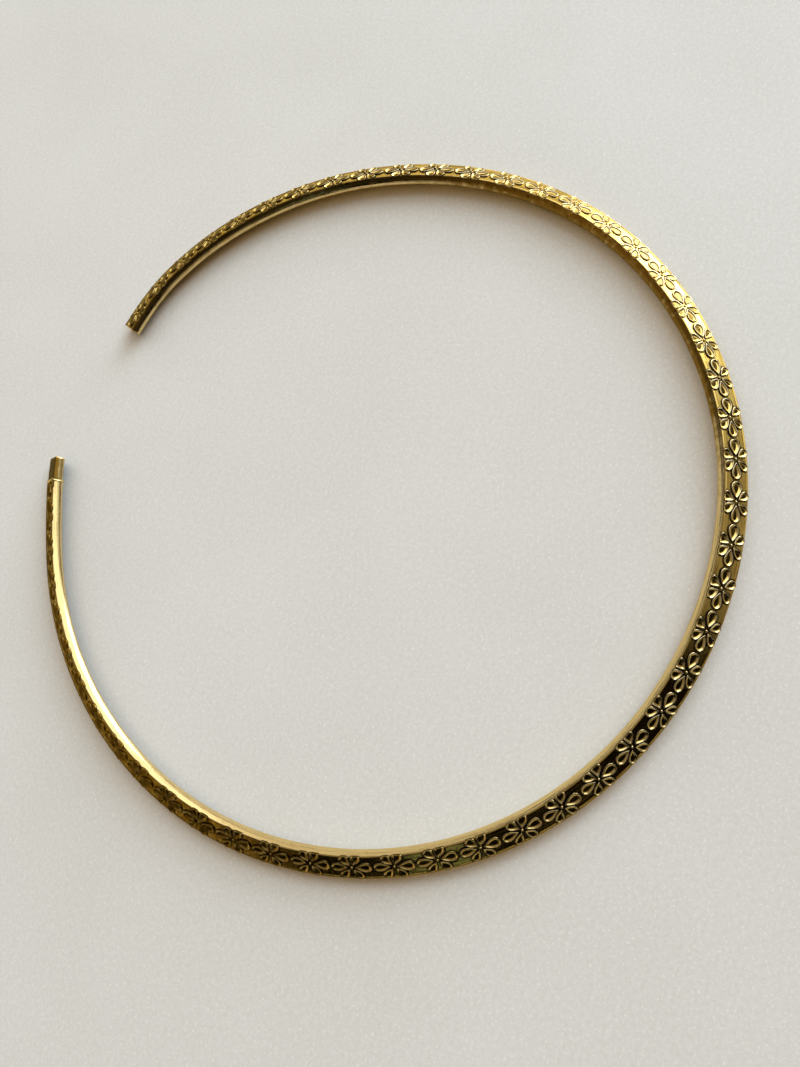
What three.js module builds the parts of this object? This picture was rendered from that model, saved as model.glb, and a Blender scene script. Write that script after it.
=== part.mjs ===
// An open, rigid choker: one brass bar with a row of raised flowers, bent round the neck.
// Millimetres, +Z up. The choker lies flat, as it rests on a table: its flowered face looks up
// and outwards, its back opening is at +Y, and the origin is under the middle of its box.

import * as THREE from 'three';
import { mergeVertices } from 'three/addons/utils/BufferGeometryUtils.js';

// Driving dimensions: along the bar
const FLOWER_PITCH = 7.0;      // from one flower's bead to the next
const WHOLE_FLOWERS = 51;
const CUT_END_LEAD = 3.4;      // from the plain cut end to the first bead
const STUB_TAIL = 11.9;        // from the last whole flower's bead to the stub's end
const STUB_LENGTH = 4.6;       // bare end past the stop ring
const NECK_RADIUS = 63.0;      // nominal, from the middle of the neck to the beads
const OPENING_FACES = 90;      // degrees from +X: the direction of the back opening

// Driving dimensions: the bar's section
const BAR_WIDTH = 4.3;
const BAR_DEPTH = 1.95;        // from the recessed field to the back
const FACE_ROUND = 0.12;       // rounding of the two upper edges
const BACK_ROUND = 0.45;       // rounding of the two lower edges
const FACE_ROUND_STEPS = 1;
const BACK_ROUND_STEPS = 3;
const REST_FLAT = 0.07;        // how much of the lower edge is flattened where it rests

// Driving dimensions: the relief and the stop ring's end
const RELIEF = 0.38;           // petal rim above the field
const CUP_FLOOR = 0.06;        // petal middle above the field
const RIM_INSET = 0.14;        // from a petal's foot to its rim, seen from above
const BEAD_RADIUS = 0.32;
const BEAD_SIDES = 6;
const RING_WIDTH = 0.5;
const RING_PROUD = 0.14;       // stop ring above the bar
const STEP_RUN = 0.06;         // length that the ring's shoulder takes
const STUB_SHRINK = 0.08;      // stub below the bar's surface, all round
const STUB_ROUND = 0.3;        // softened edge of the stub's end

// How the hand-bent bar strays from a circle, and how far its face leans outwards.
// along: degrees round the neck from the cut end. radius: mm to the beads. lean: degrees.
const BEND = [
  { along: 0, radius: 61.5, lean: 26 },
  { along: 12, radius: 62.9, lean: 27 },
  { along: 40, radius: 63.3, lean: 26.5 },
  { along: 65, radius: 63.4, lean: 27 },
  { along: 95, radius: 63.9, lean: 30 },
  { along: 130, radius: 63.3, lean: 29.5 },
  { along: 165, radius: 62.8, lean: 28 },
  { along: 215, radius: 63.4, lean: 30 },
  { along: 250, radius: 63.4, lean: 32 },
  { along: 280, radius: 63, lean: 38 },
  { along: 305, radius: 62.8, lean: 39.5 },
  { along: 320, radius: 63, lean: 38 },
  { along: 333, radius: 64.6, lean: 36.5 },
];

// The petals of one flower. heading: degrees from the bar's direction, turning outwards.
// start, end: mm from the bead's middle. width: mm over the petal's foot.
const PETALS = [
  { heading: 0, start: 0.55, end: 3.3, width: 1.6 },
  { heading: 52, start: 0.5, end: 2.48, width: 1.3 },
  { heading: 128, start: 0.5, end: 2.48, width: 1.3 },
  { heading: 180, start: 0.55, end: 3.3, width: 1.75 },
  { heading: 232, start: 0.5, end: 2.48, width: 1.3 },
  { heading: 308, start: 0.5, end: 2.48, width: 1.3 },
];

// A petal's right-hand edge, from its pointed start to its round end.
// at: share of its length. half: share of its half width.
const PETAL_EDGE = [
  { at: 0, half: 0 },
  { at: 0.36, half: 0.8 },
  { at: 0.8, half: 0.86 },
  { at: 1, half: 0 },
];

const barLength = CUT_END_LEAD + (WHOLE_FLOWERS - 1) * FLOWER_PITCH + STUB_TAIL;
const ringStart = barLength - STUB_LENGTH - RING_WIDTH;
const fieldHalf = BAR_WIDTH / 2 - FACE_ROUND;
const toRadians = THREE.MathUtils.degToRad;
const degreesRound = (length) => THREE.MathUtils.radToDeg(length / NECK_RADIUS);
const cutEndAngle = OPENING_FACES - (360 - degreesRound(barLength)) / 2;

// One column of the bend table at an angle: a smooth curve through its rows,
// each row's slope taken from its two neighbours.
function bendAt(along, column) {
  const last = BEND.length - 1;
  const slope = (row) => {
    const before = BEND[Math.max(row - 1, 0)];
    const after = BEND[Math.min(row + 1, last)];
    return (after[column] - before[column]) / (after.along - before.along);
  };
  const next = Math.max(BEND.findIndex((row) => row.along > along), 1);
  const from = BEND[next - 1];
  const to = BEND[next];
  const span = to.along - from.along;
  const t = (along - from.along) / span;
  const rise = t * t * (3 - 2 * t);
  const leave = t * (1 - t) * (1 - t);
  const arrive = t * t * (t - 1);
  const bow = span * (slope(next - 1) * leave + slope(next) * arrive);
  return from[column] + (to[column] - from[column]) * rise + bow;
}

// A point of the bar: length from the cut end, side across the face towards its outer edge,
// rise above the recessed field. The bar's lowest edge is flattened where it rests, at zero.
function onBar({ length, side, rise }) {
  const along = degreesRound(length);
  const turn = toRadians(cutEndAngle - along);
  const lean = toRadians(bendAt(along, 'lean'));
  const lowestSide = (BAR_WIDTH / 2 - BACK_ROUND) * Math.sin(lean);
  const lowestBack = (BAR_DEPTH - BACK_ROUND) * Math.cos(lean);
  const fieldHeight = lowestSide + lowestBack + BACK_ROUND - REST_FLAT;
  const outward = bendAt(along, 'radius') + side * Math.cos(lean) + rise * Math.sin(lean);
  const height = fieldHeight - side * Math.sin(lean) + rise * Math.cos(lean);
  return new THREE.Vector3(outward * Math.cos(turn), outward * Math.sin(turn), Math.max(height, 0));
}

// The bar's section, grown by an amount all round: four rounded corners, counter-clockwise,
// from the outer lower corner. Its field lies between the second corner and the third.
function sectionOutline(grow) {
  const halfWidth = BAR_WIDTH / 2 + grow;
  const corners = [
    { side: 1, rise: -BAR_DEPTH - grow, inward: 1, round: BACK_ROUND, steps: BACK_ROUND_STEPS },
    { side: 1, rise: grow, inward: -1, round: FACE_ROUND, steps: FACE_ROUND_STEPS },
    { side: -1, rise: grow, inward: -1, round: FACE_ROUND, steps: FACE_ROUND_STEPS },
    { side: -1, rise: -BAR_DEPTH - grow, inward: 1, round: BACK_ROUND, steps: BACK_ROUND_STEPS },
  ];
  return corners.flatMap((corner, index) => {
    const centreSide = corner.side * (halfWidth - corner.round);
    const centreRise = corner.rise + corner.inward * corner.round;
    return Array.from({ length: corner.steps + 1 }, (_, step) => {
      const angle = toRadians(90 * (index - 1 + step / corner.steps));
      const side = centreSide + corner.round * Math.cos(angle);
      return { side, rise: centreRise + corner.round * Math.sin(angle) };
    });
  });
}

const fieldSide = BACK_ROUND_STEPS + FACE_ROUND_STEPS + 1;
const sectionAt = (length, grow) => sectionOutline(grow).map((point) => ({ ...point, length }));

// The triangles between two loops of points, apart from one side that may be left open.
function stitch(loop, nextLoop, openSide = -1) {
  return loop.flatMap((point, side) => {
    const beside = (side + 1) % loop.length;
    const lower = [point, loop[beside], nextLoop[side]];
    const upper = [loop[beside], nextLoop[beside], nextLoop[side]];
    return side === openSide ? [] : [lower, upper];
  });
}

// The triangles from a loop of points to one point in its middle.
const fan = (loop, tip) => loop.map((point, side) => [point, loop[(side + 1) % loop.length], tip]);

// A loop round one petal, drawn in from its foot by an inset, at a rise above the field.
function petalLoop(petal, beadLength, inset, rise) {
  const heading = toRadians(petal.heading);
  const leftEdge = PETAL_EDGE.slice(1, -1).reverse();
  const rightEdge = PETAL_EDGE.map(({ at, half }) => ({ at, half: -half }));
  return [...rightEdge, ...leftEdge].map(({ at, half }) => {
    const reach = petal.start + inset + at * (petal.end - petal.start - 2 * inset);
    const spread = half * (petal.width / 2 - inset);
    const length = beadLength + reach * Math.cos(heading) - spread * Math.sin(heading);
    return { length, side: reach * Math.sin(heading) + spread * Math.cos(heading), rise };
  });
}

// A petal: a wall up to its rim, and a cup sunk in its middle.
function makePetal(petal, beadLength) {
  const foot = petalLoop(petal, beadLength, 0, 0);
  const rim = petalLoop(petal, beadLength, RIM_INSET, RELIEF);
  const heading = toRadians(petal.heading);
  const middle = (petal.start + petal.end) / 2;
  const length = beadLength + middle * Math.cos(heading);
  const cup = { length, side: middle * Math.sin(heading), rise: CUP_FLOOR };
  return { foot, triangles: [...stitch(foot, rim), ...fan(rim, cup)] };
}

// A bead: a low round point in the middle of the flower.
function makeBead(beadLength) {
  const foot = Array.from({ length: BEAD_SIDES }, (_, corner) => {
    const angle = (2 * Math.PI * corner) / BEAD_SIDES;
    const length = beadLength + BEAD_RADIUS * Math.cos(angle);
    return { length, side: BEAD_RADIUS * Math.sin(angle), rise: 0 };
  });
  return { foot, triangles: fan(foot, { length: beadLength, side: 0, rise: RELIEF }) };
}

// One stretch of the face: the flat field with a gap for the foot of each raised form,
// and the raised forms in the gaps.
function makeFace(from, to, beadLength, forms) {
  const stations = [from, beadLength, to].filter((length) => length >= from && length <= to);
  const innerEdge = stations.map((length) => ({ length, side: -fieldHalf, rise: 0 }));
  const outerEdge = stations.map((length) => ({ length, side: fieldHalf, rise: 0 }));
  const border = [...innerEdge, ...outerEdge.reverse()];
  const gaps = forms.map(({ foot }) => [...foot].reverse());
  const fromAbove = (loop) => loop.map(onBar).map(({ x, y }) => new THREE.Vector2(x, y));
  const field = THREE.ShapeUtils.triangulateShape(fromAbove(border), gaps.map(fromAbove));
  const corners = [...border, ...gaps.flat()];
  const fieldTriangles = field.map((triangle) => triangle.map((corner) => corners[corner]));
  return [...fieldTriangles, ...forms.flatMap(({ triangles }) => triangles)];
}

// The row of flowers. The last one runs out under the stop ring, so it has only
// the petals that point back along the bar.
function makeFlowers() {
  const triangles = [];
  for (let flower = 0; flower <= WHOLE_FLOWERS; flower += 1) {
    const beadLength = CUT_END_LEAD + flower * FLOWER_PITCH;
    const from = Math.max(beadLength - FLOWER_PITCH / 2, 0);
    const to = Math.min(beadLength + FLOWER_PITCH / 2, ringStart);
    const whole = flower < WHOLE_FLOWERS;
    const pointsBack = ({ heading }) => Math.cos(toRadians(heading)) < 0;
    const petals = PETALS.filter((petal) => whole || pointsBack(petal));
    const forms = petals.map((petal) => makePetal(petal, beadLength));
    const beads = whole ? [makeBead(beadLength)] : [];
    triangles.push(...makeFace(from, to, beadLength, [...forms, ...beads]));
  }
  return triangles;
}

// The sides and back of the bar, its cut end, the stop ring and the stub.
function makeBar() {
  const stations = [0];
  for (let length = CUT_END_LEAD; length < ringStart; length += FLOWER_PITCH / 2) {
    stations.push(length);
  }
  const sections = [...stations, ringStart].map((length) => sectionAt(length, 0));
  const endSections = [
    sections.at(-1),
    sectionAt(ringStart + STEP_RUN, RING_PROUD),
    sectionAt(ringStart + RING_WIDTH - STEP_RUN, RING_PROUD),
    sectionAt(ringStart + RING_WIDTH, -STUB_SHRINK),
    sectionAt(barLength - STUB_ROUND, -STUB_SHRINK),
    sectionAt(barLength, -STUB_SHRINK - STUB_ROUND / 2),
  ];
  const core = { side: 0, rise: -BAR_DEPTH / 2 };
  const cutEnd = [...sections[0]].reverse();
  return [
    ...fan(cutEnd, { ...core, length: 0 }),
    ...sections.slice(1).flatMap((section, index) => stitch(sections[index], section, fieldSide)),
    ...endSections.slice(1).flatMap((section, index) => stitch(endSections[index], section)),
    ...fan(endSections.at(-1), { ...core, length: barLength }),
  ];
}

function makeCollar() {
  const corners = [...makeBar(), ...makeFlowers()].flat();
  const geometry = mergeVertices(new THREE.BufferGeometry().setFromPoints(corners.map(onBar)));
  geometry.computeBoundingBox();
  const middle = geometry.boundingBox.getCenter(new THREE.Vector3());
  return geometry.translate(-middle.x, -middle.y, 0);
}

const giltBrass = new THREE.MeshStandardMaterial({ color: 0xc9a24a, roughness: 0.22, metalness: 1 });
const choker = new THREE.Group();
const collar = new THREE.Mesh(makeCollar(), giltBrass);
collar.name = 'collar';
choker.add(collar);

export default choker;
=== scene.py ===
import bpy
import numpy as np
from mathutils import Matrix, Vector


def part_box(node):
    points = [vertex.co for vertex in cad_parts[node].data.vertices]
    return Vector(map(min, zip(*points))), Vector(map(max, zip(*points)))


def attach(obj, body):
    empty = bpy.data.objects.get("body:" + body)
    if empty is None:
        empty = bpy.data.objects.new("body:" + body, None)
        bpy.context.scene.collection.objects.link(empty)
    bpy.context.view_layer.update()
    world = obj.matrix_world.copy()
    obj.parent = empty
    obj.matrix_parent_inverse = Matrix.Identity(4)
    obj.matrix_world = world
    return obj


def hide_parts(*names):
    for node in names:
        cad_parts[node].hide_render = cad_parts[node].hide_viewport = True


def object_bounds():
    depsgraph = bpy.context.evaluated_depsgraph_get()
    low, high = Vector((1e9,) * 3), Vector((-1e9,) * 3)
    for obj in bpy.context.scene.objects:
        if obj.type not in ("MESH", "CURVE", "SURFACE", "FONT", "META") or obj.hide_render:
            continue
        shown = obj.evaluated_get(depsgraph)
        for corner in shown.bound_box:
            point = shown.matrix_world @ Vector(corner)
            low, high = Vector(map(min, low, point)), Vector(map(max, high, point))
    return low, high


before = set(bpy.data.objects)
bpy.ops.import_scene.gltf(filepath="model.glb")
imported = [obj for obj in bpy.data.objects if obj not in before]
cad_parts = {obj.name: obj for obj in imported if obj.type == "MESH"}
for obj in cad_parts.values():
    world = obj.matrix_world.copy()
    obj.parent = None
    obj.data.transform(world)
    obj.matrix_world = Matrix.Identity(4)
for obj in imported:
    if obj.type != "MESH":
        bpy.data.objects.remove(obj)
cad_low, cad_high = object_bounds()


# ---- The bar ----------------------------------------------------------------------------------
# The choker is one solid brass bar, drawn through a die to a flat section with rounded corners,
# run between patterned rolls, and bent by hand round a former. It is gilded and then polished.

MM = 0.001
FLOWER_PITCH = 7.0      # mm, from one flower's bead to the next
WHOLE_FLOWERS = 51
CUT_END_LEAD = 3.4      # mm, from the plain cut end to the first bead
STUB_TAIL = 11.9        # mm, from the last whole flower's bead to the stub's end
STUB_LENGTH = 4.6
RING_WIDTH = 0.5
NECK_RADIUS = 63.0      # mm, nominal, from the middle of the neck to the beads
OPENING_FACES = 90.0    # degrees from +X: the direction of the back opening

BAR_WIDTH = 4.3         # mm, across the flowered face
BAR_DEPTH = 1.95        # mm, from the recessed field to the back
BACK_ROUND = 0.45       # mm, rounding of the two lower edges
FLANK_BOW = 0.08        # mm that each side swells at its middle
REST_FLAT = 0.07        # mm of the lower edge flattened where it rests
STUB_SHRINK = 0.08      # mm that the bare stub lies below the bar's surface
STUB_ROUND = 0.3        # mm, the softened edge of its end

# How the hand-bent bar strays from a circle, and how far its face leans outwards:
# degrees round the neck from the cut end, mm to the beads, degrees of lean.
BEND = np.array([
    (0, 61.5, 26), (12, 62.9, 27), (40, 63.3, 26.5), (65, 63.4, 27), (95, 63.9, 30),
    (130, 63.3, 29.5), (165, 62.8, 28), (215, 63.4, 30), (250, 63.4, 32), (280, 63, 38),
    (305, 62.8, 39.5), (320, 63, 38), (333, 64.6, 36.5),
])

bar_length = CUT_END_LEAD + (WHOLE_FLOWERS - 1) * FLOWER_PITCH + STUB_TAIL
ring_start = bar_length - STUB_LENGTH - RING_WIDTH
cut_end_angle = OPENING_FACES - (360 - np.degrees(bar_length / NECK_RADIUS)) / 2


def bend_at(along, column):
    """One column of the bend table at an angle: between two rows it is a cubic, and its slope
    at each row is the slope between that row's two neighbours."""
    knots, values = BEND[:, 0], BEND[:, column]
    row = np.arange(len(BEND))
    before, after = np.maximum(row - 1, 0), np.minimum(row + 1, row[-1])
    slope = (values[after] - values[before]) / (knots[after] - knots[before])
    to = np.clip(np.searchsorted(knots, along, side="right"), 1, row[-1])
    span = knots[to] - knots[to - 1]
    t = (along - knots[to - 1]) / span
    rise = (values[to] - values[to - 1]) * t * t * (3 - 2 * t)
    bow = span * (slope[to - 1] * t * (1 - t) ** 2 + slope[to] * t * t * (t - 1))
    return values[to - 1] + rise + bow


def bend_bar(length, side, rise):
    """Points of the straight bar, in mm, bent round the neck: length runs clockwise from the cut
    end, side across the face towards its outer edge, and rise up from the recessed field.
    The section turns by the lean about its bead, and stands on its lowest edge."""
    length, side, rise = np.broadcast_arrays(length, side, rise)
    along = np.degrees(length / NECK_RADIUS)
    turn = np.radians(cut_end_angle - along)
    lean = np.radians(bend_at(along, 2))
    lowest_side = (BAR_WIDTH / 2 - BACK_ROUND) * np.sin(lean)
    lowest_back = (BAR_DEPTH - BACK_ROUND) * np.cos(lean)
    field_height = lowest_side + lowest_back + BACK_ROUND - REST_FLAT
    outward = bend_at(along, 1) + side * np.cos(lean) + rise * np.sin(lean)
    height = np.maximum(field_height - side * np.sin(lean) + rise * np.cos(lean), 0)
    return np.stack([outward * np.cos(turn), outward * np.sin(turn), height], -1)


def arc(side, rise, radius_side, radius_rise, start, end, steps):
    """Points of a quarter of an ellipse about a centre, from one angle to another, in degrees."""
    angle = np.radians(np.linspace(start, end, steps + 1))
    return np.stack([side + radius_side * np.cos(angle), rise + radius_rise * np.sin(angle)], -1)


def bowed(start, end, steps):
    """Points strictly between two ends of a side, swelling outwards as half a sine wave."""
    t = np.linspace(0, 1, steps + 1)[1:-1, None]
    start, end = np.array(start), np.array(end)
    out = np.array([end[1] - start[1], start[0] - end[0]]) / np.linalg.norm(end - start)
    return start + (end - start) * t + FLANK_BOW * np.sin(np.pi * t) * out


EDGE_LINE = 0.05        # mm that the plain line along the outer edge stands up
EDGE_ROUND = 0.12       # mm, rounding of that line's outer corner
GROOVE_SIDE = 1.92      # mm, the bottom of the fine groove inside that line
GROOVE_INNER = 0.07     # mm from its bottom to the field
GROOVE_OUTER = 0.05     # mm from its bottom to the plain line
LINE_WORN = 0.01        # mm that the plain line is lower at the groove
SHOULDER_SIDE = 0.3     # mm across the soft shoulder between the face and the inner side
SHOULDER_DROP = 0.28    # mm from the face down to that shoulder's foot
INNER_SLOPE = 0.14      # mm that the top of the inner side stands back from its foot
BACK_MIDDLE = 0.6       # mm, half the width of the middle strip of the flat back
FIELD_STEPS = 20        # faces across the field


def bar_section():
    """The bar's section as side and rise, counter-clockwise from its back: quarter arcs at the
    corners, bowed sides between them, and the level field between its groove and shoulder."""
    half, back = BAR_WIDTH / 2, -BAR_DEPTH
    low = back + BACK_ROUND
    inner_top = -half + INNER_SLOPE
    field_outer, field_inner = GROOVE_SIDE - GROOVE_INNER, inner_top + SHOULDER_SIDE
    field = np.linspace(field_outer, field_inner, FIELD_STEPS + 1)[:-1]
    return np.concatenate([
        arc(half - BACK_ROUND, low, BACK_ROUND, BACK_ROUND, -90, 0, 4),
        bowed((half, low), (half, EDGE_LINE - EDGE_ROUND), 4),
        arc(half - EDGE_ROUND, EDGE_LINE - EDGE_ROUND, EDGE_ROUND, EDGE_ROUND, 0, 90, 3),
        [(GROOVE_SIDE + GROOVE_OUTER, EDGE_LINE - LINE_WORN), (GROOVE_SIDE, -EDGE_LINE)],
        np.stack([field, np.zeros(FIELD_STEPS)], -1),
        arc(field_inner, -SHOULDER_DROP, SHOULDER_SIDE, SHOULDER_DROP, 90, 180, 6),
        bowed((inner_top, -SHOULDER_DROP), (-half, low), 4),
        arc(-half + BACK_ROUND, low, BACK_ROUND, BACK_ROUND, 180, 270, 4),
        [(-BACK_MIDDLE, back), (BACK_MIDDLE, back)],
    ])


def shoulder_rise(side):
    """The face's rise at a side: level, then a quarter of an ellipse down the inner shoulder."""
    field_inner = SHOULDER_SIDE + INNER_SLOPE - BAR_WIDTH / 2
    past = np.clip((field_inner - side) / SHOULDER_SIDE, 0, 1)
    return SHOULDER_DROP * (np.sqrt(1 - past ** 2) - 1)


def grown(section, amount):
    """A closed outline moved outwards along its own normals, by an amount for each copy."""
    tangent = np.roll(section, -1, 0) - np.roll(section, 1, 0)
    normal = np.stack([tangent[:, 1], -tangent[:, 0]], -1)
    normal /= np.linalg.norm(normal, axis=1, keepdims=True)
    return section + np.asarray(amount)[:, None, None] * normal


def new_piece(name, points, faces, material):
    """A smooth piece of the choker from points in metres in the row frame. It rides on the one
    body, stands for the collar's solid and takes the finish that it is given."""
    mesh = bpy.data.meshes.new(name)
    mesh.from_pydata(points.reshape(-1, 3).tolist(), [], faces)
    mesh.polygons.foreach_set("use_smooth", np.ones(len(mesh.polygons), bool))
    mesh.materials.append(material)
    piece = bpy.data.objects.new(name, mesh)
    bpy.context.scene.collection.objects.link(piece)
    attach(piece, "root")
    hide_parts("collar")
    return piece


def add_attribute(piece, name, values):
    """Gives each of a piece's points a value that its material reads."""
    attribute = piece.data.attributes.new(name, "FLOAT", "POINT")
    attribute.data.foreach_set("value", np.asarray(values, np.float32))


def tube_faces(rings, around):
    """Quads between rings of points, each ring closed on itself, and a fan at either end, to two
    further points that follow the rings. The rings run counter-clockwise about their path,
    which comes towards the eye."""
    ring, spot = np.meshgrid(np.arange(rings - 1), np.arange(around), indexing="ij")
    beside = (spot + 1) % around
    here, there = ring * around, (ring + 1) * around
    quads = np.stack([here + spot, here + beside, there + beside, there + spot], -1)
    spot = np.arange(around)
    beside = (spot + 1) % around
    first, last, end = rings * around, rings * around + 1, (rings - 1) * around
    start_fan = np.stack([beside, spot, np.full(around, first)], -1)
    end_fan = np.stack([end + spot, end + beside, np.full(around, last)], -1)
    return quads.reshape(-1, 4).tolist() + start_fan.tolist() + end_fan.tolist()


def swept(section, lengths, growth):
    """A section carried along the bar: its points in mm as length, side and rise, one ring for
    each length, then the middle point of each end."""
    outline = grown(section, growth)
    length = np.broadcast_to(np.asarray(lengths)[:, None, None], outline.shape[:2] + (1,))
    rings = np.concatenate([length, outline], -1).reshape(-1, 3)
    middle = [0, -BAR_DEPTH / 2]
    return np.concatenate([rings, [[lengths[0], *middle], [lengths[-1], *middle]]])


# Each petal of a flower: degrees from the bar's direction, turning outwards, then mm from the
# bead's middle to its start and its end, and mm across its foot.
PETALS = np.array([
    (0, 0.55, 3.42, 1.74), (49, 0.38, 2.62, 1.5), (128, 0.38, 2.6, 1.52),
    (180, 0.45, 3.36, 1.96), (246, 0.38, 2.75, 1.88), (309, 0.4, 2.8, 1.8),
])
EGG_SCALE = 2.598       # makes a petal's half width one at its widest
EGG_TIPS = (0.04, 0.96)     # shares of its length past which its dark corners stop narrowing
OUTLINE_SLANT = 0.9     # of a distance aside, as the petal's outline slants
SHADE_REACH = 0.34      # mm off a petal's foot that its dark corner reaches
beads = CUT_END_LEAD + FLOWER_PITCH * np.arange(WHOLE_FLOWERS + 1)


def egg(t):
    """A petal's half width at a share of its length, pointed at its start and round at its end:
    the share times the root of what is left, scaled to one at its widest."""
    return EGG_SCALE * t * np.sqrt(np.clip(1 - t, 0, 1))


def petal_shade(length, side):
    """How deep in the corner beside a petal a point of the field lies: one against a petal's
    foot, falling to nothing a third of a millimetre off."""
    from_bead = (length - CUT_END_LEAD + FLOWER_PITCH / 2) % FLOWER_PITCH - FLOWER_PITCH / 2
    nearest = np.full(np.broadcast(length, side).shape, BAR_WIDTH)
    for heading, start, end, width in PETALS:
        way = np.radians(heading)
        reach = from_bead * np.cos(way) + side * np.sin(way)
        spread = np.abs(side * np.cos(way) - from_bead * np.sin(way))
        t = np.clip((reach - start) / (end - start), 0, 1)
        beyond = np.abs(reach - start - t * (end - start))
        aside = np.maximum(spread - egg(np.clip(t, *EGG_TIPS)) * width / 2, 0)
        nearest = np.minimum(nearest, np.hypot(beyond, aside * OUTLINE_SLANT))
    return np.clip(1 - nearest / SHADE_REACH, 0, 1)


def smooth(value, start, end):
    """A share that goes from none at the start to whole at the end, level at both."""
    t = np.clip((value - start) / (end - start), 0, 1)
    return t * t * (3 - 2 * t)


# Where the face turns down to the inner side, in mm across it, and where the inner side's foot
# is, in mm up from the field: each from where it sets in to where it is whole.
INNER_TURN = (-1.72, -2.02)
INNER_FOOT = (-0.5, -1.1)

# How the finish, and the painted shade in the dark corners, change along the bar: a share, then
# the mm from the cut end where the change sets in and where it is whole.
FACE_BROWN_AT_STUB = (0.85, 215, 300)
FACE_BROWN_AT_CUT_END = (0.52, 80, 25)
INNER_BROWN = (0.9, 168, 142)
FOOT_RUBBED = (0.85, 95, 60)
# the dark corners are kept lighter where the face mirrors the bright window, and near either end,
# where the relief shows faint
LESS_SHADE_ON_QUARTER = (0.55, 70, 95)
LESS_SHADE_QUARTER_END = (1.0, 145, 120)
LESS_SHADE_AT_CUT_END = (0.4, 60, 20)
LESS_SHADE_AT_STUB = (0.6, 275, 315)


def on_inner_side(side):
    """A share that goes from none on the face to whole on the bar's inner side."""
    return smooth(side, *INNER_TURN)


def along_bar(length, change):
    """A change of finish at mm along the bar: its share, times a smooth step from its start."""
    share, start, end = change
    return share * smooth(length, start, end)


def tarnish_and_dark_reflection_at(length, side, rise):
    """How brown and dull the gilding is, from mm along the bar, across it and up it: tarnish,
    deepened by painted dark reflection. The face is browner towards the stub and a little near
    the cut end. The inner side is brown from the cut end to almost half way round, but its foot
    is rubbed bright near the cut end."""
    face = along_bar(length, FACE_BROWN_AT_STUB) + along_bar(length, FACE_BROWN_AT_CUT_END)
    rubbed = along_bar(length, FOOT_RUBBED) * smooth(rise, *INNER_FOOT)
    inner = along_bar(length, INNER_BROWN) * (1 - rubbed)
    return face + (inner - face) * on_inner_side(side)


def corner_shade_kept(length):
    """The share of the dark corners' patina and painted shade that is kept, at mm along the bar:
    less on a stretch a quarter of the way round, where the face mirrors the bright window, and
    less near either end, where the relief shows faint."""
    less_on_quarter = along_bar(length, LESS_SHADE_ON_QUARTER) * along_bar(length, LESS_SHADE_QUARTER_END)
    less_at_ends = along_bar(length, LESS_SHADE_AT_CUT_END) + along_bar(length, LESS_SHADE_AT_STUB)
    return 1 - less_on_quarter - less_at_ends


def hex_colour(code):
    """An sRGB hex colour as the linear red, green, blue and alpha that a shader takes."""
    srgb = np.array([int(code[i:i + 2], 16) for i in (1, 3, 5)]) / 255
    linear = np.where(srgb <= 0.04045, srgb / 12.92, ((srgb + 0.055) / 1.055) ** 2.4)
    return (*linear, 1.0)


def add_node(tree, kind, inputs=None, **settings):
    """Adds a node, gives it its settings, and fills its sockets with values or with links."""
    node = tree.nodes.new(kind)
    for name, value in settings.items():
        setattr(node, name, value)
    for socket, value in (inputs or {}).items():
        if isinstance(value, bpy.types.NodeSocket):
            tree.links.new(value, node.inputs[socket])
        else:
            node.inputs[socket].default_value = value
    return node


def new_material(name):
    """An empty material, its node tree and its output node."""
    material = bpy.data.materials.new(name)
    material.use_nodes = True
    material.node_tree.nodes.clear()
    return material, material.node_tree, add_node(material.node_tree, "ShaderNodeOutputMaterial")


GILT = "#f4d377"
GILT_WARM = "#e6bd5e"   # its warmer patches
GILT_RUBBED = "#ecd090"     # the inner side, rubbed by the neck
GLANCING = "#fff0c0"    # the tint that the metal keeps when it is seen edge on
# the brown of the tarnish and of the painted dark reflection
TARNISH_AND_DARK_REFLECTION = "#825e0c"
STREAK = "#7d6024"      # the deepest of the drawn lines
PATINA_AND_PAINTED_SHADE = "#1c1203"      # the black of the corners, patina deepened by painted shade, and of the specks
POLISHED = 0.12         # roughness where the polish is whole
DULL_GILT = 0.34        # roughness of the gilding where the tarnish and painted dark reflection, or the patina and painted shade, cover it
MARK_DEPTH = 0.04       # mm, the depth of dents and drawn lines at a strength of one
PATCHINESS = 0.65       # how far either way the tarnish strays from patch to patch
LINES = (0.15, 5.0, 1.0)    # drawn lines 7 mm long and 0.2 mm apart, as repeats to the mm


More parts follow.
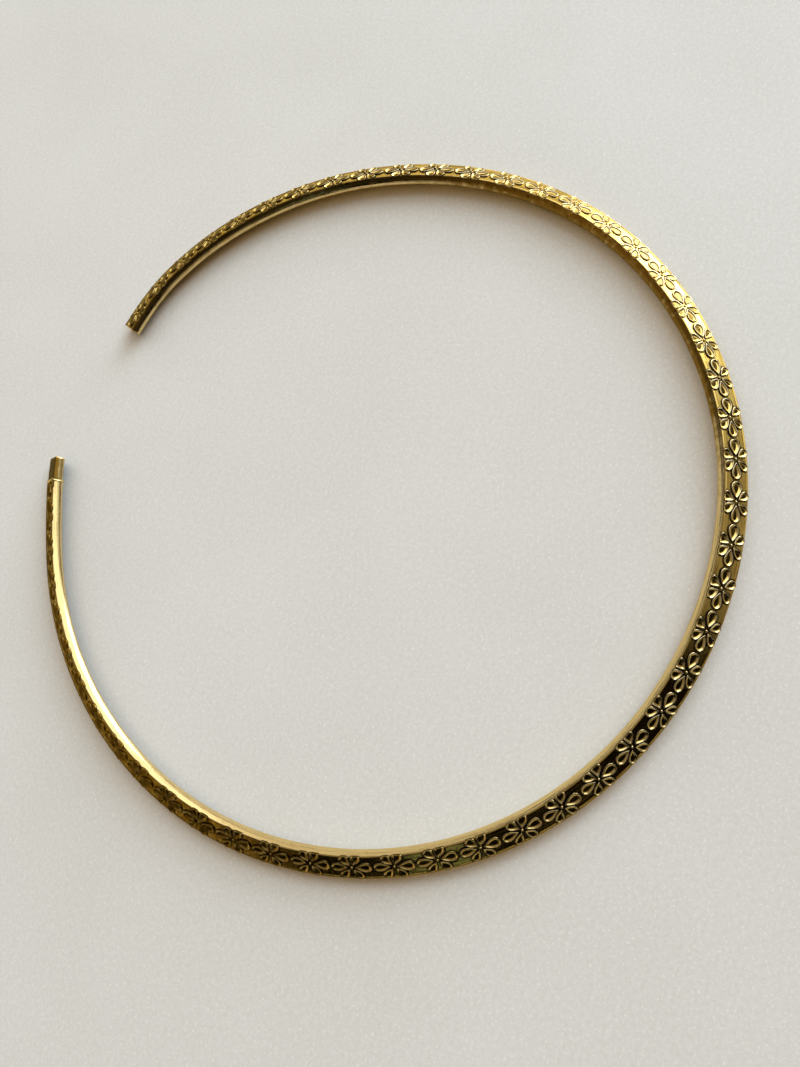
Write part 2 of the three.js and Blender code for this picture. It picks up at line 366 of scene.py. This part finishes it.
def gilt_brass(name, rubbed_colour, drawn_lines=False, dullest=DULL_GILT):
    """Polished gilt brass: a bright yellow mirror, slightly soft from handling, warmer in
    patches and paler where it is rubbed. It is brown and dull with tarnish and painted dark
    reflection, and black in the corners of the relief with patina, where the polishing mop
    doesn't reach, and painted shade."""
    material, tree, output = new_material(name)
    place = add_node(tree, "ShaderNodeTexCoord").outputs["Object"]
    # patches of tone 4 mm across
    tone = add_node(tree, "ShaderNodeTexNoise", {
        "Vector": place, "Scale": 0.25 / MM, "Detail": 2.0,
    })
    gold = add_node(tree, "ShaderNodeMix", {
        "Factor": tone.outputs["Fac"], 6: hex_colour(GILT), 7: hex_colour(GILT_WARM),
    }, data_type="RGBA")
    rubbed = add_node(tree, "ShaderNodeAttribute", attribute_name="rubbed")
    gold = add_node(tree, "ShaderNodeMix", {
        "Factor": rubbed.outputs["Fac"], 6: gold.outputs[2], 7: hex_colour(rubbed_colour),
    }, data_type="RGBA")
    tarnish_and_dark_reflection = add_node(tree, "ShaderNodeAttribute", attribute_name="tarnish_and_dark_reflection")
    # the tarnish and painted dark reflection come and go in patches 1.2 mm across
    patches = add_node(tree, "ShaderNodeTexNoise", {
        "Vector": place, "Scale": 0.8 / MM, "Detail": 3.0,
    })
    uneven = add_node(tree, "ShaderNodeMath", {
        0: patches.outputs["Fac"], 1: 2 * PATCHINESS, 2: -PATCHINESS,
    }, operation="MULTIPLY_ADD")
    uneven = add_node(tree, "ShaderNodeMath", {0: uneven.outputs[0], 1: tarnish_and_dark_reflection.outputs["Fac"]},
                      operation="ADD")
    browned = add_node(tree, "ShaderNodeMapRange", {
        "Value": uneven.outputs[0], "From Min": 0.18, "From Max": 0.85, "To Max": 0.92,
    })
    gold = add_node(tree, "ShaderNodeMix", {
        "Factor": browned.outputs[0], 6: gold.outputs[2], 7: hex_colour(TARNISH_AND_DARK_REFLECTION),
    }, data_type="RGBA")
    # dark specks 0.4 mm across, 0.9 mm apart at the nearest, where the gilding has browned
    specks = add_node(tree, "ShaderNodeTexNoise", {
        "Vector": place, "Scale": 1.1 / MM, "Detail": 2.0,
    })
    specked = add_node(tree, "ShaderNodeMapRange", {
        "Value": specks.outputs["Fac"], "From Min": 0.64, "From Max": 0.72, "To Max": 0.8,
    }, interpolation_type="SMOOTHSTEP")
    specked = add_node(tree, "ShaderNodeMath", {
        0: specked.outputs[0], 1: browned.outputs[0],
    }, operation="MULTIPLY")
    gold = add_node(tree, "ShaderNodeMix", {
        "Factor": specked.outputs[0], 6: gold.outputs[2], 7: hex_colour(PATINA_AND_PAINTED_SHADE),
    }, data_type="RGBA")
    # the corners are black with patina, deepened by painted shade
    shade = add_node(tree, "ShaderNodeAttribute", attribute_name="corner_shade")
    # grains 0.25 mm across break up the edge of the patina and painted shade
    grain = add_node(tree, "ShaderNodeTexNoise", {
        "Vector": place, "Scale": 4.0 / MM, "Detail": 1.0,
    })
    ragged = add_node(tree, "ShaderNodeMath", {
        0: grain.outputs["Fac"], 1: 0.5, 2: shade.outputs["Fac"],
    }, operation="MULTIPLY_ADD")
    patina_and_shade = add_node(tree, "ShaderNodeMapRange", {
        "Value": ragged.outputs[0], "From Min": 0.48, "From Max": 1.1, "To Max": 0.96,
    }, interpolation_type="SMOOTHSTEP")
    colour = add_node(tree, "ShaderNodeMix", {
        "Factor": patina_and_shade.outputs[0], 6: gold.outputs[2], 7: hex_colour(PATINA_AND_PAINTED_SHADE),
    }, data_type="RGBA")
    dullness = add_node(tree, "ShaderNodeMath", {
        0: browned.outputs[0], 1: patina_and_shade.outputs[0],
    }, operation="MAXIMUM")
    roughness = add_node(tree, "ShaderNodeMapRange", {
        "Value": dullness.outputs[0], "To Min": POLISHED, "To Max": dullest,
    })
    shader = add_node(tree, "ShaderNodeBsdfPrincipled", {
        "Base Color": colour.outputs[2], "Metallic": 1.0, "Roughness": roughness.outputs[0],
        "Specular Tint": hex_colour(GLANCING),
    })
    # dents 0.5 mm across from handling
    dents = add_node(tree, "ShaderNodeTexNoise", {
        "Vector": place, "Scale": 2.0 / MM, "Detail": 2.0,
    })
    relief = add_node(tree, "ShaderNodeBump", {
        "Height": dents.outputs["Fac"], "Strength": 0.25, "Distance": MARK_DEPTH * MM,
    })
    if drawn_lines:
        # fine lines that the die left along the bar, with brown in the deepest
        lines_place = add_node(tree, "ShaderNodeMapping", {
            "Vector": add_node(tree, "ShaderNodeUVMap", uv_map="bar_mm").outputs[0],
            "Scale": LINES,
        })
        lines = add_node(tree, "ShaderNodeTexNoise", {
            "Vector": lines_place.outputs[0], "Scale": 1.0, "Detail": 3.0,
        }, noise_dimensions="2D")
        relief = add_node(tree, "ShaderNodeBump", {
            "Height": lines.outputs["Fac"], "Strength": 0.5, "Distance": MARK_DEPTH * MM,
            "Normal": relief.outputs[0],
        })
        streak = add_node(tree, "ShaderNodeMapRange", {
            "Value": lines.outputs["Fac"], "From Min": 0.46, "From Max": 0.34, "To Max": 0.75,
        }, interpolation_type="SMOOTHSTEP")
        # where the bar is rubbed, on its inner side, they show least
        shown = add_node(tree, "ShaderNodeMapRange", {
            "Value": rubbed.outputs["Fac"], "To Min": 1.0, "To Max": 0.35,
        })
        streak = add_node(tree, "ShaderNodeMath", {
            0: streak.outputs[0], 1: shown.outputs[0],
        }, operation="MULTIPLY")
        streaked = add_node(tree, "ShaderNodeMix", {
            "Factor": streak.outputs[0], 6: colour.outputs[2], 7: hex_colour(STREAK),
        }, data_type="RGBA")
        tree.links.new(streaked.outputs[2], shader.inputs["Base Color"])
    tree.links.new(relief.outputs[0], shader.inputs["Normal"])
    tree.links.new(shader.outputs[0], output.inputs[0])
    return material


STATION_STEP = 0.2      # mm between sections along the bar
OUTLINE_STEP = 0.5      # mm between those that find its middle
END_ROUND = 0.1         # mm, the cut end's broken edge
END_BEVEL = 0.3         # share of it at which that edge turns
LEVEL_WITHIN = 0.01     # mm of the field's height within which a point lies on it

section = bar_section()
# the bar and its stub together have the collar's outline, so their middle goes to its middle
outline_lengths = np.append(np.arange(0, ring_start, OUTLINE_STEP), bar_length - STUB_ROUND)
outline = swept(section, outline_lengths, np.where(outline_lengths > ring_start, -STUB_SHRINK, 0))
whole_bent = bend_bar(*outline.T)
whole_middle = (whole_bent.min(0) + whole_bent.max(0)) / 2
collar_low, collar_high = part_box("collar")
collar_middle = np.array((collar_low + collar_high) / 2) / MM
to_frame = (collar_middle - whole_middle) * [1, 1, 0]

stations = np.arange(END_ROUND, ring_start, STATION_STEP)
lengths = np.concatenate([[0, END_ROUND * END_BEVEL], stations, [ring_start + RING_WIDTH / 2]])
growth = np.zeros(len(lengths))
growth[:2] = [-END_ROUND, -END_ROUND * END_BEVEL]
bar_points = swept(section, lengths, growth)
bar_bent = bend_bar(*bar_points.T)

bar = new_piece("bar", (bar_bent + to_frame) * MM, tube_faces(len(lengths), len(section)),
                gilt_brass("gilt_brass_bar", GILT_RUBBED, drawn_lines=True))
# the dark corners are drawn on the level field alone
on_field = np.abs(bar_points[:, 2]) < LEVEL_WITHIN
shade = np.where(on_field, petal_shade(bar_points[:, 0], bar_points[:, 1]), 0)
add_attribute(bar, "corner_shade", shade * corner_shade_kept(bar_points[:, 0]))
add_attribute(bar, "tarnish_and_dark_reflection", tarnish_and_dark_reflection_at(*bar_points.T))
add_attribute(bar, "rubbed", on_inner_side(bar_points[:, 1]))
# the map's two directions are mm along the bar and mm round its section
edge_runs = np.linalg.norm(np.roll(section, -1, 0) - section, axis=1)
round_section = np.concatenate([[0], np.cumsum(edge_runs)])
corner_vertex = np.zeros(len(bar.data.loops), np.int32)
bar.data.loops.foreach_get("vertex_index", corner_vertex)
spot = np.minimum(corner_vertex, len(lengths) * len(section) - 1) % len(section)
corner_counts = [face.loop_total for face in bar.data.polygons]
corner_face = np.repeat(np.arange(len(corner_counts)), corner_counts)
# the last face round each ring ends at the section's whole run, not back at nought
closes_ring = (spot == 0) & (corner_face % len(section) == len(section) - 1)
round_mm = np.where(closes_ring, round_section[-1], round_section[spot])
map_mm = np.stack([bar_points[corner_vertex, 0], round_mm], -1).astype(np.float32)
bar.data.uv_layers.new(name="bar_mm").data.foreach_set("uv", map_mm.ravel())


# ---- The flowers ------------------------------------------------------------------------------
# Six petals and a bead, rolled up out of the bar's own brass every 7 mm. Each petal has a round
# rim and a hollow middle. They catch the polish first, and keep dark corners where they rise:
# patina, deepened by painted shade.

PETAL_AROUND = 14       # points round each ring of a petal
PETAL_RIM = 0.25        # mm that a petal's rim stands above the field
# From a petal's foot over its rim to its hollow: the share of its half width drawn in, mm above
# the field, and how dark its patina and painted shade are. The middle of the hollow has the last
# two alone.
PETAL_RINGS = np.array([
    (-0.05, -0.2, 1.0), (0.06, 0.17, 0.7), (0.14, PETAL_RIM, 0.05), (0.24, 0.19, 0.0),
    (0.35, 0.05, 0.3), (0.62, 0.0, 0.1),
])
PETAL_MIDDLE = (-0.01, 0.1)
DRAWN_START = 1.4       # times as far as at its sides that a ring is drawn in at its pointed start
DRAWN_END = 0.9         # and at its round end
PETAL_STRAY = (1.2, 0.02, 0.02, 0.03)   # how far petals stray from PETALS, in its own columns
STRAY_SEED = 7
GILT_CREST = "#f3e1b4"  # the rims, which the polish has worn palest
BEAD_RADIUS = 0.24      # mm
BEAD_RISE = 0.26        # mm from the field to the bead's top
BEAD_FOOT = -0.2        # mm, sunk into the field
BEAD_CLIMB = (-35, 0, 35, 65)   # degrees up the bead of its rings
BEAD_AROUND = 10        # points round each
BEAD_DARK = 0.85        # how dark its patina and painted shade are at the field
BEAD_CLEARS = 0.2       # mm of rise that would clear a patina and painted shade of one


def petal_points(bead, petal):
    """Petals as rings of points in mm, with the middle of the foot and of the hollow last. Round
    a ring, counter-clockwise from above, the angle gives the share of the length as half of one
    minus its cosine, and the half width is the egg of that share. Each ring is the outline
    drawn in by its share of the half width, and at the two tips by that times their own."""
    heading, start, end, width = (column[:, None, None] for column in petal.T)
    drawn, rise = (column[None, :, None] for column in PETAL_RINGS.T[:2])
    angle = np.linspace(0, 2 * np.pi, PETAL_AROUND, endpoint=False)
    t = (1 - np.cos(angle)) / 2
    inset = drawn * width / 2
    begin, run = start + DRAWN_START * inset, end - start - (DRAWN_START + DRAWN_END) * inset
    reach = begin + run * t
    spread = -egg(t) * np.sign(np.sin(angle)) * (width / 2 - inset)
    rise = np.broadcast_to(rise, reach.shape)
    middle = (start + end)[:, :, 0] / 2
    flat = (len(petal), -1)
    reach = np.concatenate([reach.reshape(flat), middle, middle], 1)
    spread = np.concatenate([spread.reshape(flat), middle * 0, middle * 0], 1)
    ends = np.broadcast_to([PETAL_RINGS[0, 1], PETAL_MIDDLE[0]], (len(petal), 2))
    rise = np.concatenate([rise.reshape(flat), ends], 1)
    way = np.radians(heading[:, :, 0])
    length = bead[:, None] + reach * np.cos(way) - spread * np.sin(way)
    return np.stack([length, reach * np.sin(way) + spread * np.cos(way), rise], -1)


def bead_points(bead):
    """Beads as rings of points in mm: a quarter of an ellipse turned about its middle."""
    climb = np.radians(BEAD_CLIMB)[None, :, None]
    angle = np.linspace(0, 2 * np.pi, BEAD_AROUND, endpoint=False)
    along = BEAD_RADIUS * np.cos(climb) * np.cos(angle)
    across = BEAD_RADIUS * np.cos(climb) * np.sin(angle)
    up = BEAD_RISE * np.sin(climb) + 0 * angle
    rings = np.stack([along, across, up], -1).reshape(1, -1, 3)
    ends = np.array([[0, 0, BEAD_FOOT], [0, 0, BEAD_RISE]])[None]
    shape = np.concatenate([rings, ends], 1)
    place = np.stack([bead, bead * 0, bead * 0], -1)
    return place[:, None] + shape


def repeated(faces, count, stride):
    """The faces of one form, numbered on for each of a row of like forms."""
    return [[corner + copy * stride for corner in face] for copy in range(count) for face in faces]


RUN_OFF = 1.9           # mm from the bar's middle, where petals start to run off the inner edge
RUN_OFF_FADE = 0.6      # mm past it over which their rise fades
RUN_OFF_KEPT = 0.6      # share of the rise that is left past it
SHOULDER_RIDE = 0.5     # share of the shoulder's drop that they follow
OUTER_EDGE = (0.8, 1.8)     # mm across, where the outer edge's loss sets in and is whole
OUTER_LOSS = 0.35       # share of the rise that is lost there
# Shares, and mm along the bar as in the finish: what more is lost at the outer edge near the cut
# end and near the stub, and what is lost next to the stub of the kept share and of the whole.
OUTER_LOSS_AT_CUT_END = (0.35, 50, 15)
OUTER_LOSS_AT_STUB = (0.35, 285, 320)
RUN_OFF_LOSS_AT_STUB = (0.35, 308, 330)
LOSS_AT_STUB = (0.15, 308, 330)


def pressed(points):
    """Raised points as the rolls leave them. At the outer edge they lose a third of their rise,
    and two thirds near the bar's ends. Next to the stub they are a seventh lower all over. Past
    the run-off at the inner edge the side closes up on the edge as an exponential, the rise
    fades to its kept share as a smooth step, and they ride half way down the shoulder."""
    length, side, rise = np.moveaxis(points, -1, 0)
    past = np.maximum(-RUN_OFF - side, 0)
    room = BAR_WIDTH / 2 - INNER_SLOPE - RUN_OFF
    side = np.where(past > 0, -RUN_OFF - room * (1 - np.exp(-past / room)), side)
    ends_loss = along_bar(length, OUTER_LOSS_AT_CUT_END) + along_bar(length, OUTER_LOSS_AT_STUB)
    outer_loss = (OUTER_LOSS + ends_loss) * smooth(side, *OUTER_EDGE)
    run_off_kept = RUN_OFF_KEPT * (1 - along_bar(length, RUN_OFF_LOSS_AT_STUB))
    inner_loss = (1 - run_off_kept) * smooth(past, 0, RUN_OFF_FADE)
    fade = (1 - inner_loss) * (1 - outer_loss) * (1 - along_bar(length, LOSS_AT_STUB))
    rise = np.where(rise > 0, rise * fade, rise)
    return np.stack([length, side, SHOULDER_RIDE * shoulder_rise(side) + rise], -1)


flower, kind = np.meshgrid(np.arange(WHOLE_FLOWERS + 1), np.arange(len(PETALS)), indexing="ij")
flower, kind = flower.ravel(), kind.ravel()
# the last flower runs out under the stop ring, so it has only the petals that point back
points_back = np.cos(np.radians(PETALS[kind, 0])) < 0
kept = (flower < WHOLE_FLOWERS) | points_back
flower, kind = flower[kept], kind[kept]
worn = np.random.default_rng(STRAY_SEED)
petal = PETALS[kind] + worn.normal(0, PETAL_STRAY, (len(kind), 4))
petals_mm = petal_points(beads[flower], petal)
beads_mm = bead_points(beads[:-1])
petal_faces = tube_faces(len(PETAL_RINGS), PETAL_AROUND)
bead_faces = tube_faces(len(BEAD_CLIMB), BEAD_AROUND)
petal_count, petal_size = petals_mm.shape[:2]
bead_count, bead_size = beads_mm.shape[:2]
flowers_mm = np.concatenate([petals_mm.reshape(-1, 3), beads_mm.reshape(-1, 3)])
bead_first = petal_count * petal_size
flower_faces = repeated(petal_faces, petal_count, petal_size) + [
    [corner + bead_first for corner in face] for face in repeated(bead_faces, bead_count, bead_size)
]
flowers = new_piece("flowers", (bend_bar(*pressed(flowers_mm).T) + to_frame) * MM, flower_faces,
                    gilt_brass("gilt_brass_relief", GILT_CREST))

# Painted shade darkens the petals along the inner edge near the stub, where they would mirror
# bright light, and the rims are worn palest on the first half of the bar, past the cut end:
# shares and mm along the bar, and mm across it for the edge.
EDGE_SHADE_AT_STUB = (0.45, 296, 316)
SHADED_EDGE = (-1.3, -1.8)
CREST_WORN = 0.4        # share of the rims' wear that they have all along the bar
PALEST_FROM = (0.6, 35, 70)
PALEST_PAST = (1.0, 245, 205)

flower_length, flower_side, flower_rise = flowers_mm.T
petal_shades = [*np.repeat(PETAL_RINGS[:, 2], PETAL_AROUND), 1.0, PETAL_MIDDLE[1]]
bead_shades = np.clip(BEAD_DARK - beads_mm[0, :, 2] / BEAD_CLEARS, 0, 1)
corner_shades = np.append(np.tile(petal_shades, petal_count), np.tile(bead_shades, bead_count))
# painted shade on the petals at the inner edge next to the stub
edge_shade = along_bar(flower_length, EDGE_SHADE_AT_STUB) * smooth(flower_side, *SHADED_EDGE)
corner_shades = np.maximum(corner_shades * corner_shade_kept(flower_length), edge_shade)
add_attribute(flowers, "corner_shade", corner_shades)
add_attribute(flowers, "tarnish_and_dark_reflection", tarnish_and_dark_reflection_at(flower_length, 0, 0))
worn_palest = along_bar(flower_length, PALEST_FROM) * along_bar(flower_length, PALEST_PAST)
crest = np.clip(flower_rise / PETAL_RIM, 0, 1)
add_attribute(flowers, "rubbed", crest * (CREST_WORN + worn_palest))


# ---- The stop ring and the stub ---------------------------------------------------------------
# The bar's other end is turned down past a narrow ring, to a bare stub that a clasp or a cap
# once gripped. The stub was left unpolished, so it is duller and browner than the rest.

RING_PROUD = 0.14       # mm that the ring stands above the bar
RING_ROUND = 0.06       # mm along the bar in which its edges round over
RING_SUNK = 0.25        # mm that its two ends lie below the bar's surface
RING_LAP = 0.02         # mm that they lap over the bar and the stub
PLAIN_ROUND = 0.2       # mm, rounding of the plain section's outer corner
PLAIN_FACE = (1.7, -1.5)    # mm across, the first and last points of its level face
PLAIN_POINTS = 9        # points from one to the other
ROUND_STEPS = 5         # steps in which an edge rounds over
STUB_SUNK = 0.2         # mm of the stub inside the ring
STUB_STATIONS = 12      # sections along its straight part
DULL_BRASS = 0.5        # roughness of the unpolished stub


def plain_section():
    """The bar's section without its face's lines: four quarter arcs and bowed sides."""
    half, back = BAR_WIDTH / 2, -BAR_DEPTH
    low, high, inner_top = back + BACK_ROUND, -SHOULDER_DROP, -half + INNER_SLOPE
    return np.concatenate([
        arc(half - BACK_ROUND, low, BACK_ROUND, BACK_ROUND, -90, 0, 6),
        bowed((half, low), (half, -PLAIN_ROUND), 4),
        arc(half - PLAIN_ROUND, -PLAIN_ROUND, PLAIN_ROUND, PLAIN_ROUND, 0, 90, 4),
        np.stack([np.linspace(*PLAIN_FACE, PLAIN_POINTS), np.zeros(PLAIN_POINTS)], -1),
        arc(inner_top + SHOULDER_SIDE, high, SHOULDER_SIDE, SHOULDER_DROP, 90, 180, 6),
        bowed((inner_top, high), (-half, low), 4),
        arc(-half + BACK_ROUND, low, BACK_ROUND, BACK_ROUND, 180, 270, 6),
        [(-BACK_MIDDLE, back), (BACK_MIDDLE, back)],
    ])


plain = plain_section()
round_over = np.radians(np.linspace(0, 90, ROUND_STEPS + 1))
ring_end = ring_start + RING_WIDTH
# each edge of the ring is a quarter of an ellipse, and closes below the surface
ring_lengths = np.concatenate([
    [ring_start - RING_LAP], ring_start + RING_ROUND * (1 - np.cos(round_over)),
    ring_end - RING_ROUND * np.cos(round_over[::-1]), [ring_end + RING_LAP],
])
ring_rise = RING_PROUD * np.sin(round_over)
ring_growth = np.concatenate([[-RING_SUNK], ring_rise, ring_rise[::-1], [-RING_SUNK]])
ring_points = swept(plain, ring_lengths, ring_growth)
stop_ring = new_piece("stop_ring", (bend_bar(*ring_points.T) + to_frame) * MM,
                      tube_faces(len(ring_lengths), len(plain)),
                      gilt_brass("gilt_brass_ring", GILT_RUBBED))
add_attribute(stop_ring, "rubbed", on_inner_side(ring_points[:, 1]))

# the stub's end rounds over as a quarter of an ellipse, half as deep as it is long
stub_lengths = np.concatenate([
    np.linspace(ring_end - STUB_SUNK, bar_length - STUB_ROUND, STUB_STATIONS),
    bar_length - STUB_ROUND * (1 - np.sin(round_over[1:])),
])
stub_growth = -STUB_SHRINK - np.concatenate([
    np.zeros(STUB_STATIONS), STUB_ROUND / 2 * (1 - np.cos(round_over[1:])),
])
stub_points = swept(plain, stub_lengths, stub_growth)
stub = new_piece("stub", (bend_bar(*stub_points.T) + to_frame) * MM,
                 tube_faces(len(stub_lengths), len(plain)),
                 gilt_brass("bare_brass_stub", GILT_RUBBED, dullest=DULL_BRASS))

# The stub is brown all over, and its face and outer side are darker still. The foot of its inner
# side is wiped, and its end is worn over its last half millimetre.
STUB_BROWN = 1.05
STUB_FACE_DARK = 0.66
STUB_FOOT_WIPED = 0.72
STUB_END_WORN = (0.4, bar_length - 0.5, bar_length - 0.1)

stub_length, stub_side, stub_rise = stub_points.T
stub_inner = on_inner_side(stub_side)
wiped = STUB_FOOT_WIPED * stub_inner * smooth(stub_rise, *INNER_FOOT)
worn_end = along_bar(stub_length, STUB_END_WORN)
add_attribute(stub, "rubbed", stub_inner)
add_attribute(stub, "corner_shade", STUB_FACE_DARK * (1 - stub_inner) * (1 - worn_end))
add_attribute(stub, "tarnish_and_dark_reflection", np.clip(STUB_BROWN - wiped - worn_end, 0, 1))


# ---- The tabletop -----------------------------------------------------------------------------
# A plain top of pale stone, honed flat and left unpolished, so that it looks matt and even, with
# only a faint sparkle. The polished sides of the bar mirror it.

TABLE_COLOUR = "#e2e3e2"
TABLE_SHADE = "#d9dad7"     # its darker clouds and grains
TABLE_GLINT = "#f6f6f2"     # single crystals
TABLE_HALF = 1.5        # m
HONED = 0.45            # roughness

table_corners = np.array([(-1, -1, 0), (1, -1, 0), (1, 1, 0), (-1, 1, 0)]) * TABLE_HALF
table_top = bpy.data.meshes.new("table_top")
table_top.from_pydata((table_corners + [0, 0, cad_low.z]).tolist(), [], [(0, 1, 2, 3)])
stone, tree, output = new_material("honed_pale_stone")
place = add_node(tree, "ShaderNodeTexCoord").outputs["Object"]
# clouds 30 mm across, and crystals 0.7 mm across
clouds = add_node(tree, "ShaderNodeTexNoise", {"Vector": place, "Scale": 0.033 / MM, "Detail": 2.0})
crystals = add_node(tree, "ShaderNodeTexNoise", {"Vector": place, "Scale": 1.4 / MM, "Detail": 2.0})
mottle = add_node(tree, "ShaderNodeMix", {
    "Factor": 0.65, 2: clouds.outputs["Fac"], 3: crystals.outputs["Fac"],
})
mottle = add_node(tree, "ShaderNodeMapRange", {
    "Value": mottle.outputs[0], "From Min": 0.35, "From Max": 0.65,
})
stone_colour = add_node(tree, "ShaderNodeMix", {
    "Factor": mottle.outputs[0], 6: hex_colour(TABLE_SHADE), 7: hex_colour(TABLE_COLOUR),
}, data_type="RGBA")
# glints of single crystals 0.4 mm across
glints = add_node(tree, "ShaderNodeTexNoise", {"Vector": place, "Scale": 2.4 / MM, "Detail": 1.0})
glinting = add_node(tree, "ShaderNodeMapRange", {
    "Value": glints.outputs["Fac"], "From Min": 0.6, "From Max": 0.72, "To Max": 0.6,
})
stone_colour = add_node(tree, "ShaderNodeMix", {
    "Factor": glinting.outputs[0], 6: stone_colour.outputs[2], 7: hex_colour(TABLE_GLINT),
}, data_type="RGBA")
shader = add_node(tree, "ShaderNodeBsdfPrincipled", {
    "Base Color": stone_colour.outputs[2], "Roughness": HONED,
})
tree.links.new(shader.outputs[0], output.inputs[0])
table_top.materials.append(stone)
table = bpy.data.objects.new("table_top", table_top)
bpy.context.scene.collection.objects.link(table)


# ---- The light --------------------------------------------------------------------------------
# A wide soft window low on the +X side, the pale walls round it, a faint glow overhead from the
# far side of the room, and a dark near side, which the polished brass shows as brown and black.

# Two windows and a faint warm fill shade the tabletop: each is degrees round from +X and up,
# m away, m wide and high, watts, and its colour.
LAMPS = (
    ("window", (-12, 22), 4.0, (3.6, 2.4), 110.0, "#ddf0ff"),
    ("side_window", (65, 27), 3.2, (3.0, 3.0), 50.0, "#f4f1ea"),
    ("fill", (-150, 66), 2.2, (2.5, 2.5), 9.0, "#ffc060"),
)
# What the brass mirrors of the room: degrees round from +X and up, the cosines off that way
# where each light fades in and is full, its strength, and its colour.
ROOM_LIGHTS = (
    ("window", (-11, 12), (0.94, 0.986), 6.0, "#e8f3ff"),
    ("glow round it", (-5, 36), (0.76, 0.955), 1.5, "#f2faff"),
    ("wall under it", (34, 5), (0.86, 0.98), 0.6, "#fff8ec"),
    ("wall beside it", (-52, 30), (0.83, 0.99), 0.3, "#fdf6e8"),
    ("overhead", (55, 62), (0.3, 0.97), 0.28, "#fff2dc"),
    ("near horizon", (-127, -6), (0.86, 0.97), 0.27, "#fff3dc"),
    ("far wall", (140, 4), (0.8, 0.98), 0.45, "#ffdf9e"),
    ("garden", (-158, 23), (0.988, 0.998), 0.3, "#d8f0e0"),
    ("everywhere", (0, 90), (-3.0, -2.0), 0.005, "#ffd9a0"),
)


def direction(azimuth, height):
    """The unit vector at degrees round from +X and degrees above the horizon."""
    azimuth, height = np.radians([azimuth, height])
    level = np.cos(height)
    return Vector((np.cos(azimuth) * level, np.sin(azimuth) * level, np.sin(height)))


for name, (azimuth, height), away, size, power, colour in LAMPS:
    lamp = bpy.data.lights.new(name, "AREA")
    lamp.shape, lamp.size, lamp.size_y = "RECTANGLE", *size
    lamp.energy = power
    lamp.color = hex_colour(colour)[:3]
    toward = direction(azimuth, height)
    facing = toward.to_track_quat("Z", "Y").to_matrix().to_4x4()
    light = bpy.data.objects.new(name, lamp)
    light.matrix_world = Matrix.Translation(toward * away) @ facing
    light.visible_glossy = False    # the brass mirrors the room's own lights, below
    bpy.context.scene.collection.objects.link(light)

BACKDROP_COLOUR = "#d4d4d0"

room = bpy.data.worlds.new("room")
bpy.context.scene.world = room
room.use_nodes = True
tree = room.node_tree
tree.nodes.clear()
way = add_node(tree, "ShaderNodeTexCoord").outputs["Generated"]
# the lights are added up one after another
room_glow = (0.0, 0.0, 0.0)
for label, (azimuth, height), (fades_in, is_full), strength, colour in ROOM_LIGHTS:
    nearness = add_node(tree, "ShaderNodeVectorMath", {0: way, 1: direction(azimuth, height)},
                        operation="DOT_PRODUCT")
    share = add_node(tree, "ShaderNodeMapRange", {
        "Value": nearness.outputs["Value"], "From Min": fades_in, "From Max": is_full,
        "To Max": strength,
    }, interpolation_type="SMOOTHSTEP")
    room_glow = add_node(tree, "ShaderNodeVectorMath", {
        0: share.outputs[0], 1: hex_colour(colour)[:3], 2: room_glow,
    }, operation="MULTIPLY_ADD", label=label).outputs[0]
lit_room = add_node(tree, "ShaderNodeBackground", {"Color": room_glow})
# seen directly, the room is a plain pale backdrop
backdrop = add_node(tree, "ShaderNodeBackground", {"Color": hex_colour(BACKDROP_COLOUR)})
seen = add_node(tree, "ShaderNodeMixShader", {
    0: add_node(tree, "ShaderNodeLightPath").outputs["Is Camera Ray"],
    1: lit_room.outputs[0], 2: backdrop.outputs[0],
})
add_node(tree, "ShaderNodeOutputWorld", {0: seen.outputs[0]})


# ---- The camera -------------------------------------------------------------------------------
# Held close above the near edge of the choker, with a phone's wide lens, so that the bar looks
# thicker at the near side. Millimetres from the middle of the neck, on the tabletop.

CAMERA_AT = Vector((-20.96, -55.435, 132.21))
CAMERA_AIM = Vector((-4.96, -10.465, 0))
CAMERA_UP = direction(23.5, 0)
CAMERA_LENS = 26.99     # mm, on a 36 mm wide sensor
CAMERA_NEAR = 5         # mm, from where on it sees

camera_data = bpy.data.cameras.new("camera")
camera_data.lens = CAMERA_LENS
camera_data.clip_start = CAMERA_NEAR * MM
camera = bpy.data.objects.new("camera", camera_data)
forward = (CAMERA_AIM - CAMERA_AT).normalized()
right = forward.cross(CAMERA_UP).normalized()
camera.matrix_world = (Matrix.Translation((CAMERA_AT + Vector(to_frame)) * MM)
                       @ Matrix((right, right.cross(forward), -forward)).transposed().to_4x4())
bpy.context.scene.collection.objects.link(camera)
bpy.context.scene.camera = camera
bpy.context.scene.view_settings.view_transform = "Standard"
